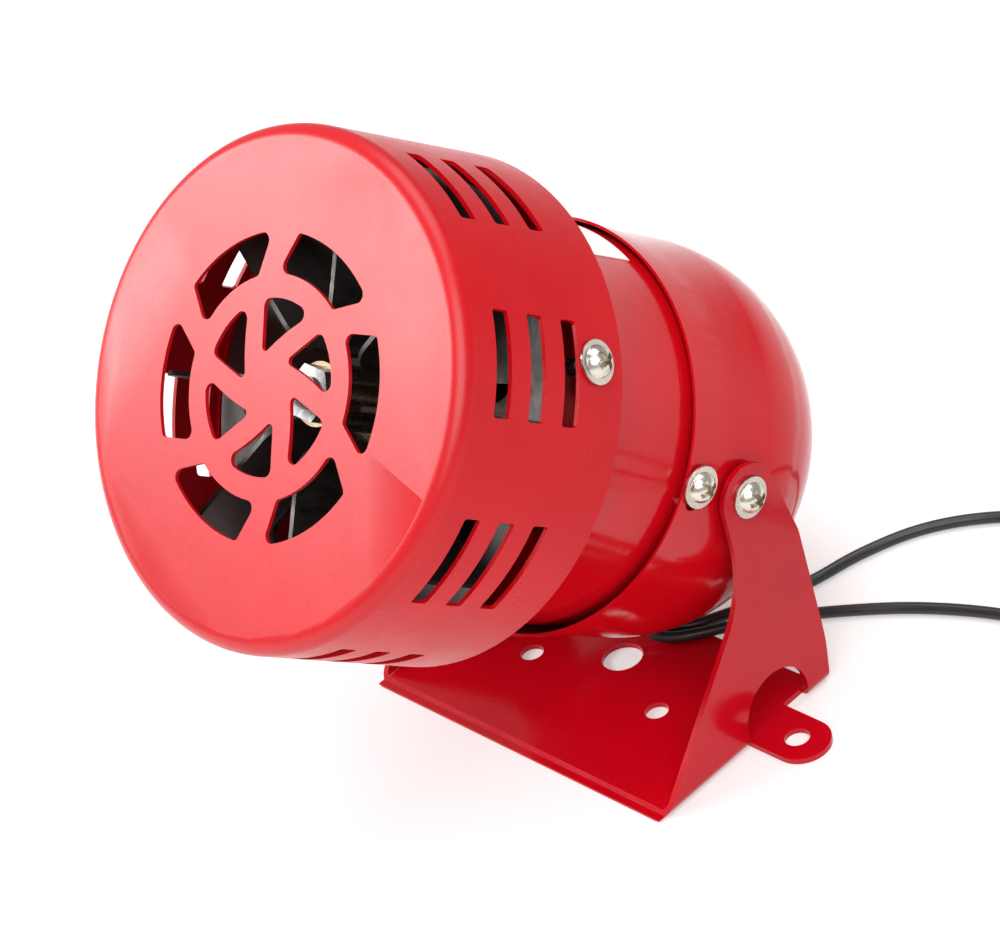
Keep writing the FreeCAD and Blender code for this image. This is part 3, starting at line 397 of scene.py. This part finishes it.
def finish(name):
    """One material for each finish, made the first time that it is asked for."""
    if name in finishes:
        return finishes[name]
    c = bpy.context.scene.siren_colours
    makers = {
        "shell_enamel": lambda: enamel("Shell Enamel", tuple(c.shell), 0.12, 0.20, 0.06, 0.05),
        "cover_enamel": lambda: enamel("Cover Enamel", tuple(c.shell), 0.28, 0.17, 0.05, 0.36, 0.62),
        "bracket_enamel": lambda: enamel("Bracket Enamel", tuple(c.bracket), 0.14, 0.32, 0.0, 0.10),
        "inner_enamel": lambda: enamel("Inner Enamel", tuple(c.inner), 0.5, 0.25, 0.0, 0.3),
        "edge_enamel": lambda: enamel("Edge Enamel", tuple(c.edge), 0.22, 0.30, 0.1, 0.08),
        # The crosses in the screws' heads get painted shade: nickel darkened to a fifth of its tone.
        "recess": lambda: metal("Screw Recess", shade(tuple(c.nickel), 0.22), 0.40, 1600, depth=0.10),
        "nickel": lambda: metal("Nickel Plate", tuple(c.nickel), 0.24, 1600, depth=0.10),
        "bright_steel": lambda: metal("Bright Steel", tuple(c.steel), 0.30, 700, (6, 1, 1), head_turn()),
        "impeller_steel": lambda: metal(
            "Impeller Steel", tuple(c.impeller), 0.46, 420, (10, 1, 1), head_turn(), 0.16
        ),
        "lamination_steel": lambda: banded(
            "Core Sheets", tuple(c.iron), shade(tuple(c.iron), 0.35), 0.85, 0.48, 620, head_turn(), 0.5
        ),
        "enamelled_wire": lambda: banded(
            "Enamelled Wire", tuple(c.wire), shade(tuple(c.wire), 0.25), 0.6, 0.30, 900, head_turn(), 0.8, 0.6
        ),
        "copper": lambda: metal("Copper", tuple(c.copper), 0.28, 800, (1, 1, 6), head_turn()),
        "brass": lambda: metal("Brass", tuple(c.brass), 0.26, 700, (1, 1, 5), head_turn()),
        "bronze": lambda: metal("Porous Bronze", tuple(c.bronze), 0.46, 2200, depth=0.35),
        "lead_insulation": lambda: polymer(
            "Lead Insulation", tuple(c.insulation), 0.34, 1900, 0.10, 1.9, "rest"
        ),
        "rubber_black": lambda: polymer("Grommet Rubber", tuple(c.rubber), 0.52, 1400, 0.16),
        "label_film": lambda: polymer("Label Film", tuple(c.label), 0.30, 500, 0.03, 1.08),
        "tinned_copper": lambda: metal("Tinned Copper", tuple(c.tin), 0.30, 1800, depth=0.14, tarnish=0.7),
        "carbon": lambda: polymer("Carbon", tuple(c.carbon), 0.55, 2600, 0.30),
        "phenolic": lambda: polymer("Phenolic Board", tuple(c.phenolic), 0.40, 320, 0.10, 1.5),
    }
    finishes[name] = makers[name]()
    return finishes[name]


def head_way(turn):
    """The way across the siren's axis at a clock angle, in degrees up from +X."""
    return Vector((1, 0, 0)) * math.cos(math.radians(turn)) + HEAD_UP * math.sin(math.radians(turn))


def screw_axes(clock, count, seat, station, step):
    """The seat and the outward way of each screw of an evenly spaced set."""
    middle = PIVOT + HEAD_UP * (step * MM) + AXIS * ((station - PIVOT_STATION) * MM)
    ways = [head_way(clock + 360.0 / count * i) for i in range(count)]
    return [(middle + way * (seat * MM), way) for way in ways]


SCREWS = {
    "cover_screws": screw_axes(**COVER_SCREWS, step=AXIS_STEP),
    "dome_screws": screw_axes(**DOME_SCREWS, step=AXIS_STEP),
    "pivot_screws": screw_axes(**PIVOT_SCREWS, step=0.0),
}

# ------------------------------------------------------------------ copies of sheet-metal and turned nodes


def softened(node, name, edge, segments=2, sharp=32.0, flat=0.6):
    """A copy of a node with its sharp edges rounded over, as enamel and plating leave them.

    The rounded strips are left in the second material slot."""
    source = frame["nodes"][node]
    piece = bpy.data.objects.new(name, source.data.copy())
    piece.data.name = name
    bpy.context.scene.collection.objects.link(piece)
    piece.data.materials.clear()
    for _ in range(2):
        piece.data.materials.append(finish(slot_of(node)))
    pick(piece)
    bpy.ops.object.mode_set(mode="EDIT")
    bpy.ops.mesh.select_mode(type="VERT")
    bpy.ops.mesh.select_all(action="SELECT")
    bpy.ops.mesh.remove_doubles(threshold=2e-6)
    bpy.ops.mesh.dissolve_limited(angle_limit=math.radians(flat))
    bpy.ops.object.mode_set(mode="OBJECT")
    for face in piece.data.polygons:
        face.material_index = 0
    modify(
        piece, "BEVEL", width=edge, segments=segments, limit_method="ANGLE",
        angle_limit=math.radians(sharp), use_clamp_overlap=True, miter_outer="MITER_ARC", material=1,
    )
    bpy.ops.object.shade_smooth()
    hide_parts(node)
    return piece


def profile_place(point, step):
    """Where a point stands on a turned shell's outline: its reach, its station and the way outward."""
    away = point - PIVOT - HEAD_UP * (step * MM)
    across = away.x / MM
    up = away.dot(HEAD_UP) / MM
    reach = max(math.hypot(across, up), 1e-6)
    out = (Vector((across, 0.0, 0.0)) + HEAD_UP * up) / reach
    return reach, away.dot(AXIS) / MM + PIVOT_STATION, out


def near_mean(normal, others, limit=0.87):
    total = Vector((0.0, 0.0, 0.0))
    for other in others:
        if other.dot(normal) > limit:
            total += other
    return total.normalized() if total.length > 1e-6 else normal


def arc_slope(reach, station, slope, arcs):
    """The slope of the rounded part that a point lies on, or None where the outline is straight."""
    found = None
    for arc_reach, arc_station, radius in arcs:
        if abs(math.hypot(reach - arc_reach, station - arc_station) - radius) < 0.05:
            true = math.atan2(station - arc_station, reach - arc_reach)
            if math.cos(true - slope) < 0:
                true += math.pi
            if math.cos(true - slope) > 0.97:
                found = true
    return found


def outline_key(reach, station):
    return round(reach * 20), round(station * 20)


def turned_normals(piece, step, arcs):
    """Normals of a turned shell, taken from its outline; its cut edges blend from face to face."""
    mesh = piece.data
    places = [profile_place(vertex.co, step) for vertex in mesh.vertices]
    slopes = {}
    skins = {}
    plain = {}
    strips = {}
    for face in mesh.polygons:
        reach, station, out = profile_place(face.center, step)
        normal = face.normal.copy()
        around = out.cross(AXIS)
        if face.material_index == 1:
            for index in face.vertices:
                strips.setdefault(index, []).append(normal)
        elif abs(normal.dot(around)) < 0.04 and reach > 2.0:
            slope = math.atan2(normal.dot(AXIS), normal.dot(out))
            skins[face.index] = slope
            for index in face.vertices:
                slopes.setdefault(outline_key(*places[index][:2]), set()).add(round(slope, 2))
        else:
            for index in face.vertices:
                plain.setdefault(index, []).append(normal)
    corners = [None] * len(mesh.loops)
    edges = {}
    for face in mesh.polygons:
        if face.material_index == 1:
            continue
        for loop in face.loop_indices:
            index = mesh.loops[loop].vertex_index
            if face.index in skins:
                slope = skins[face.index]
                reach, station, out = places[index]
                found = arc_slope(reach, station, slope, arcs)
                if found is None:
                    near = [s for s in slopes[outline_key(reach, station)] if math.cos(s - slope) > 0.9]
                    sine = sum(math.sin(s) for s in near) + 1e-9
                    found = math.atan2(sine, sum(math.cos(s) for s in near))
                normal = out * math.cos(found) + AXIS * math.sin(found)
            else:
                normal = near_mean(face.normal, plain[index])
            corners[loop] = normal
            edges.setdefault(index, []).append(normal)
    for face in mesh.polygons:
        if face.material_index == 1:
            for loop in face.loop_indices:
                index = mesh.loops[loop].vertex_index
                corners[loop] = near_mean(face.normal, edges.get(index, strips[index]), 0.2)
    mesh.normals_split_custom_set(corners)


def slot_of(node):
    for part in frame["record"]["subparts"]:
        if part["node"] == node:
            return part["material_slot"]
    raise RuntimeError("no material slot for " + node)


def body_of(node):
    for body, members in frame["record"]["behaviour"]["bodies"].items():
        if node in members:
            return body
    raise RuntimeError("no body for " + node)


def finish_copy(piece, node, extras, choose):
    """A rounded copy takes its node's finish, and choose gives some of its faces one of the extras."""
    for face in piece.data.polygons:
        face.material_index = choose(face)
    main_finish = "cover_enamel" if node == "front_cover" else slot_of(node)
    dress(piece, finish(main_finish))
    for extra in extras:
        piece.data.materials.append(finish(extra))
    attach(piece, body_of(node))


def shell_face(face, step, rims):
    """Which enamel a shell's face has: 0 outside, 1 inside with near-black painted shade, 2 on a cut edge or
    rim with dark red painted shade.
    """
    reach, station, out = profile_place(face.center, step)
    ahead = face.normal.dot(AXIS)
    outward = face.normal.dot(out)
    # Faces on the cover's rear rim and the dome's front lip get dark red painted shade.
    if any(abs(station - rim) < 0.35 for rim in rims):
        return 2
    # Inside faces and the back of the grille get near-black painted shade.
    if (outward < -0.5 and reach > SHELL_INSIDE) or (station < FACE_INSIDE and ahead > 0.5):
        return 1
    # The walls of the grille's openings get dark red painted shade.
    if face.material_index == 0 and abs(ahead) < 0.1 and station < 0.9:
        return 2
    return 0


def recess_shade_face(face, node):
    """1 for the walls and the floor of a screw's cross, which take the painted shade, and 0 elsewhere."""
    near = min(SCREWS[node], key=lambda axis: (face.center - axis[0]).cross(axis[1]).length)
    away = face.center - near[0]
    height = away.dot(near[1]) / MM
    beside = away.cross(near[1]).length / MM
    facing = face.normal.dot(near[1])
    in_cross = beside < RECESS_REACH and height > RECESS_FLOOR
    return int(in_cross and (facing < 0.45 or height < RECESS_TOP))


def dress_node(node):
    """A node keeps its own shape and gets its finish."""
    piece = frame["nodes"][node]
    piece.data.materials.clear()
    piece.data.materials.append(finish(slot_of(node)))


# ------------------------------------------------------------------ leads

LEAD_A = (
    (-0.386, 8.473, 10.089), (-0.386, 8.254, 5.894), (-0.1, 8.2, 3.3), (2.5, 8.65, 2.2),
    (6.4, 11.3, 2.15), (9.5, 17.4, 1.7), (12.6, 24.0, 1.05), (15.6, 31.0, 1.05),
    (17.6, 40.2, 1.05), (23.0, 51.5, 1.05), (33.5, 60.5, 1.05), (47.0, 66.0, 1.05), (62.0, 67.5, 1.05),
    (76.5, 64.0, 1.05), (88.5, 55.0, 1.05), (97.0, 43.5, 1.05),
)
LEAD_B = (
    (0.386, 6.099, 10.213), (0.386, 5.88, 6.018), (0.9, 5.6, 3.3), (3.9, 6.0, 2.2),
    (7.8, 9.0, 2.2), (12.1, 14.6, 2.0), (17.4, 21.2, 1.1), (25.0, 27.4, 1.05),
    (36.0, 34.6, 1.05), (50.0, 40.4, 1.05), (64.5, 43.0, 1.05), (79.0, 40.5, 1.05), (92.0, 33.0, 1.05),
    (101.5, 21.5, 1.05), (106.0, 8.0, 1.05),
)


def tube(name, places, radius, resolution, bevel_resolution):
    """A round tube along the smooth line that the control places give."""
    curve = bpy.data.curves.new(name, "CURVE")
    curve.dimensions = "3D"
    spline = curve.splines.new("NURBS")
    spline.points.add(len(places) - 1)
    for point, place in zip(spline.points, places):
        point.co = (*place, 1.0)
    spline.order_u = 3
    spline.use_endpoint_u = True
    curve.resolution_u = resolution
    curve.bevel_depth = radius
    curve.bevel_resolution = bevel_resolution
    curve.use_fill_caps = True
    piece = bpy.data.objects.new(name, curve)
    bpy.context.scene.collection.objects.link(piece)
    return piece


def meshed(piece):
    """The mesh piece that a curve piece becomes."""
    pick(piece)
    bpy.ops.object.convert(target="MESH")
    return bpy.context.object


def route_curve(name, route, radius):
    return tube(name, [Vector(place) * MM for place in route], radius, 10, 5)


def centre_line(route):
    """The points that the route's smooth line passes, read from the curve itself."""
    bare = route_curve("line", route, 0.0)
    mesh = bpy.data.meshes.new_from_object(bare)
    points = [vertex.co.copy() for vertex in mesh.vertices]
    bpy.data.meshes.remove(mesh)
    curve = bare.data
    bpy.data.objects.remove(bare)
    bpy.data.curves.remove(curve)
    return points


def keep_rest_place(piece):
    """The surface remembers where it lay at rest, so that its texture goes with it when it bends."""
    rest = piece.data.attributes.new("rest", "FLOAT_VECTOR", "POINT")
    flat = [0.0] * (3 * len(piece.data.vertices))
    piece.data.vertices.foreach_get("co", flat)
    rest.data.foreach_set("vector", flat)


def bare_end(name, end, way, sizes):
    """The stripped end of a lead: strands twisted round a middle one, and tinned."""
    side = way.cross(Vector((0, 0, 1))).normalized()
    up = side.cross(way).normalized()
    pieces = []
    wire = sizes.strand / 2
    for index in range(sizes.strands + 1):
        ring = 0.0 if index == 0 else 1.95 * wire
        start = 2 * math.pi * index / sizes.strands
        steps = 26
        places = []
        for step in range(steps + 1):
            run = step / steps
            angle = start + 2 * math.pi * 1.15 * run
            spread = ring * (1.0 + 0.10 * math.sin(7.0 * run + index) * run)
            along = -0.0006 + (sizes.strand_length + 0.0006) * run * (1.0 - 0.012 * (index % 3))
            aside = side * (spread * math.cos(angle)) + up * (spread * math.sin(angle))
            places.append(end + way * along + aside)
        pieces.append(meshed(tube(name, places, wire, 3, 2)))
    piece = join(pieces, name)
    bpy.ops.object.shade_smooth()
    return piece


class SIREN_OT_leads(bpy.types.Operator):
    """Lay the two supply leads, from the grommet to their bare ends"""

    bl_idname = "siren.leads"
    bl_label = "Leads"

    def execute(self, context):
        sizes = context.scene.siren_sizes
        for name, route, length in (
            ("lead_a", LEAD_A, sizes.lead_a_length),
            ("lead_b", LEAD_B, sizes.lead_b_length),
        ):
            line = centre_line(route)
            piece = meshed(route_curve(name + "_sleeve", route, sizes.lead / 2))
            piece.data.name = piece.name
            bpy.ops.object.shade_smooth_by_angle(angle=math.radians(50))
            keep_rest_place(piece)
            dress(piece, finish("lead_insulation"))
            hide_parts(name)
            way = (line[-1] - line[-2]).normalized()
            tip = bare_end(name + "_strands", line[-1], way, sizes)
            dress(tip, finish("tinned_copper"))
            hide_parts(name + "_tip")
            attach(tip, "bracket")
            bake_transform(piece)
        return {"FINISHED"}


# ------------------------------------------------------------------ shells and bracket


class SIREN_OT_shells(bpy.types.Operator):
    """Round and enamel the front cover, the sleeve, the dome and the bracket"""

    bl_idname = "siren.shells"
    bl_label = "Shells and Bracket"

    def execute(self, context):
        edge = context.scene.siren_sizes.sheet_edge
        for node, name, width, step, arcs, rims in (
            ("front_cover", "cover_shell", edge, AXIS_STEP, COVER_ARCS, (COVER_REAR,)),
            ("mid_housing", "sleeve_shell", 0.8 * edge, AXIS_STEP, (), ()),
            ("rear_dome", "dome_shell", 0.6 * edge, 0.0, DOME_ARCS, (DOME_FRONT,)),
        ):
            piece = softened(node, name, width)
            turned_normals(piece, step, arcs)
            # The extras are painted shade: near-black on the inside faces, dark red on the cut edges and
            # rims.
            extras = ("inner_enamel", "edge_enamel")
            finish_copy(piece, node, extras, lambda face: shell_face(face, step, rims))
        piece = softened("bracket", "bracket_fold", 0.6 * edge)
        modify(piece, "WEIGHTED_NORMAL", mode="FACE_AREA", weight=60, keep_sharp=False)
        # The bracket's forward-facing cut edge gets dark red painted shade.
        finish_copy(piece, "bracket", ("edge_enamel",), lambda face: int(face.normal.y < -0.95))
        return {"FINISHED"}


class SIREN_OT_screws(bpy.types.Operator):
    """Round and plate every outside screw and washer"""

    bl_idname = "siren.screws"
    bl_label = "Screws"

    def execute(self, context):
        edge = context.scene.siren_sizes.screw_edge
        for node in ("cover_screws", "dome_screws", "pivot_screws"):
            piece = softened(node, node.replace("_", "_pan_"), edge, 2, 40.0)
            modify(piece, "WEIGHTED_NORMAL", mode="FACE_AREA", weight=60, keep_sharp=False)
            # The walls and floor of each cross get the painted shade.
            finish_copy(piece, node, ("recess",), lambda face: recess_shade_face(face, node))
        dress_node("pivot_washers")
        return {"FINISHED"}


class SIREN_OT_label(bpy.types.Operator):
    """Finish the plain label and the lead grommet"""

    bl_idname = "siren.label"
    bl_label = "Label and Grommet"

    def execute(self, context):
        dress_node("rating_label")
        dress_node("lead_grommet")
        return {"FINISHED"}


class SIREN_OT_rotor(bpy.types.Operator):
    """Finish the impeller, its hub and nut, and the armature on its shaft"""

    bl_idname = "siren.rotor"
    bl_label = "Impeller and Armature"

    def execute(self, context):
        for node in frame["record"]["behaviour"]["bodies"]["rotor"]:
            dress_node(node)
        return {"FINISHED"}


def coil_spring(name, fixed, free, radius, wire, turns):
    """A wound spring between two places, with its end turns closed up."""
    way = free - fixed
    side = way.orthogonal().normalized()
    other = way.normalized().cross(side)
    steps = 16 * turns
    margin = wire / 2 / way.length
    places = []
    for step in range(steps + 1):
        run = step / steps
        eased = run - 0.09 * math.sin(2 * math.pi * run)
        along = margin + (1 - 2 * margin) * min(1.0, max(0.0, eased))
        angle = 2 * math.pi * turns * run
        aside = side * (radius * math.cos(angle)) + other * (radius * math.sin(angle))
        places.append(fixed + way * along + aside)
    piece = meshed(tube(name, places, wire / 2, 2, 2))
    bpy.ops.object.shade_smooth()
    return piece


class SIREN_OT_motor(bpy.types.Operator):
    """Finish the motor's frame, and wind the springs behind its brushes"""

    bl_idname = "siren.motor"
    bl_label = "Motor"

    def execute(self, context):
        sizes = context.scene.siren_sizes
        done = (
            "front_cover", "mid_housing", "rear_dome", "cover_screws", "dome_screws", "pivot_screws",
            "pivot_washers", "rating_label", "lead_grommet",
        )
        members = frame["record"]["behaviour"]["bodies"]
        for node in members["siren_head"] + members["brush_block_left"] + members["brush_block_right"]:
            if node not in done and not node.startswith(("brush_spring", "lead_")):
                dress_node(node)
        for name, side in (("left", -1), ("right", 1)):
            node = "brush_spring_" + name
            fixed = head_point(side * SPRING_FIXED, 0.0, BRUSH_STATION)
            free = head_point(side * SPRING_FREE, 0.0, BRUSH_STATION)
            wire = sizes.spring_wire
            radius = SPRING_RADIUS - wire / 2
            spring = coil_spring("coil_spring_" + name, fixed, free, radius, wire, sizes.spring_turns)
            dress(spring, finish("bright_steel"))
            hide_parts(node)
            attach(spring, body_of(node))
            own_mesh(spring)
        return {"FINISHED"}


# ------------------------------------------------------------------ camera, floor and lights


class SIREN_OT_camera(bpy.types.Operator):
    """Place the camera above the grille's near side"""

    bl_idname = "siren.camera"
    bl_label = "Camera"

    def execute(self, context):
        azimuth = math.radians(CAMERA_AZIMUTH)
        height = math.radians(CAMERA_HEIGHT)
        roll = math.radians(CAMERA_ROLL)
        level = Vector((math.sin(azimuth), -math.cos(azimuth), 0.0))
        back = level * math.cos(height) + Vector((0.0, 0.0, math.sin(height)))
        right = (-back).cross(Vector((0, 0, 1))).normalized()
        down = (-back).cross(right)
        tilted_right = right * math.cos(roll) + down * math.sin(roll)
        tilted_down = down * math.cos(roll) - right * math.sin(roll)
        data = bpy.data.cameras.new("Camera")
        data.sensor_width = 36.0
        data.lens = CAMERA_LENS
        data.shift_x, data.shift_y = CAMERA_SHIFT
        data.clip_start = 0.01
        data.dof.use_dof = False
        camera = bpy.data.objects.new("Camera", data)
        turn = Matrix((tilted_right, -tilted_down, back)).transposed().to_4x4()
        camera.matrix_world = Matrix.Translation(Vector(CAMERA_TARGET) + back * CAMERA_DISTANCE) @ turn
        context.scene.collection.objects.link(camera)
        context.scene.camera = camera
        return {"FINISHED"}


def softbox(name, place, target, width, height, power, up=(0.0, 0.0, 1.0)):
    """A soft rectangular light that faces its target."""
    data = bpy.data.lights.new(name, "AREA")
    data.shape = "RECTANGLE"
    data.size = width
    data.size_y = height
    data.energy = power
    light = bpy.data.objects.new(name, data)
    back = (Vector(place) - Vector(target)).normalized()
    side = Vector(up).cross(back).normalized()
    turn = Matrix((side, back.cross(side), back)).transposed().to_4x4()
    light.matrix_world = Matrix.Translation(place) @ turn
    bpy.context.scene.collection.objects.link(light)
    return light


class SIREN_OT_stage(bpy.types.Operator):
    """Lay the pale floor and set the soft studio lights"""

    bl_idname = "siren.stage"
    bl_label = "Stage"

    def execute(self, context):
        stage = context.scene.siren_stage
        deselect()
        bpy.ops.mesh.primitive_plane_add(size=8.0, location=(0, 0, 0))
        floor = context.object
        floor.name = "floor"
        material, tree, principled, place = shader("Pale Floor")
        grain = ramp(tree, noise(tree, place, 14, 2.0, 0.5), 0.0, 1.0)
        tree.links.new(
            blend_colours(tree, grain, shade(tuple(stage.floor), 0.99), tuple(stage.floor)),
            principled.inputs["Base Color"],
        )
        principled.inputs["Roughness"].default_value = 0.9
        principled.inputs["Emission Color"].default_value = (1.0, 1.0, 1.0, 1.0)
        principled.inputs["Emission Strength"].default_value = stage.floor_glow
        floor.data.materials.append(material)
        world = bpy.data.worlds.new("Room")
        world.use_nodes = True
        background = world.node_tree.nodes["Background"]
        background.inputs["Color"].default_value = (1.0, 1.0, 1.0, 1.0)
        background.inputs["Strength"].default_value = stage.world
        context.scene.world = world
        mirrored = (Vector(FACE_MIRROR) + HEAD_UP * FACE_MIRROR_LIFT).normalized()
        face_place = Vector(GRILLE) + mirrored * FACE_SOFTBOX_AWAY
        softbox("face_softbox", face_place, GRILLE, 0.52, 0.22, stage.veil, HEAD_UP)
        softbox("top_softbox", (-0.10, 0.30, 1.10), MIDDLE, 0.8, 0.8, stage.top, (0.0, 1.0, 0.0))
        softbox("large_softbox", (0.56, -0.36, 0.80), MIDDLE, 0.8, 0.8, stage.key)
        context.scene.view_settings.view_transform = "Standard"
        context.scene.view_settings.look = "None"
        return {"FINISHED"}


# ------------------------------------------------------------------ panel and registration


class SIREN_PT_panel(bpy.types.Panel):
    """The pieces of the siren, their sizes and their colours"""

    bl_idname = "SIREN_PT_panel"
    bl_label = "Alarm Siren"
    bl_space_type = "VIEW_3D"
    bl_region_type = "UI"
    bl_category = "Alarm Siren"

    def draw(self, context):
        layout = self.layout
        for operator in OPERATORS:
            layout.operator(operator.bl_idname)
        for group in (context.scene.siren_sizes, context.scene.siren_colours, context.scene.siren_stage):
            box = layout.box()
            for key in group.__annotations__:
                box.prop(group, key)


OPERATORS = (
    SIREN_OT_camera,
    SIREN_OT_leads,
    SIREN_OT_shells,
    SIREN_OT_screws,
    SIREN_OT_label,
    SIREN_OT_rotor,
    SIREN_OT_motor,
    SIREN_OT_stage,
)
CLASSES = (SirenColours, SirenSizes, SirenStage, *OPERATORS, SIREN_PT_panel)


def register():
    for cls in CLASSES:
        bpy.utils.register_class(cls)
    bpy.types.Scene.siren_colours = PointerProperty(type=SirenColours)
    bpy.types.Scene.siren_sizes = PointerProperty(type=SirenSizes)
    bpy.types.Scene.siren_stage = PointerProperty(type=SirenStage)


def unregister():
    del bpy.types.Scene.siren_stage
    del bpy.types.Scene.siren_sizes
    del bpy.types.Scene.siren_colours
    for cls in reversed(CLASSES):
        bpy.utils.unregister_class(cls)


def main():
    register()
    bpy.ops.siren.camera()
    bpy.ops.siren.leads()
    bpy.ops.siren.shells()
    bpy.ops.siren.screws()
    bpy.ops.siren.label()
    bpy.ops.siren.rotor()
    bpy.ops.siren.motor()
    bpy.ops.siren.stage()
    deselect()


if __name__ == "__main__":
    main()
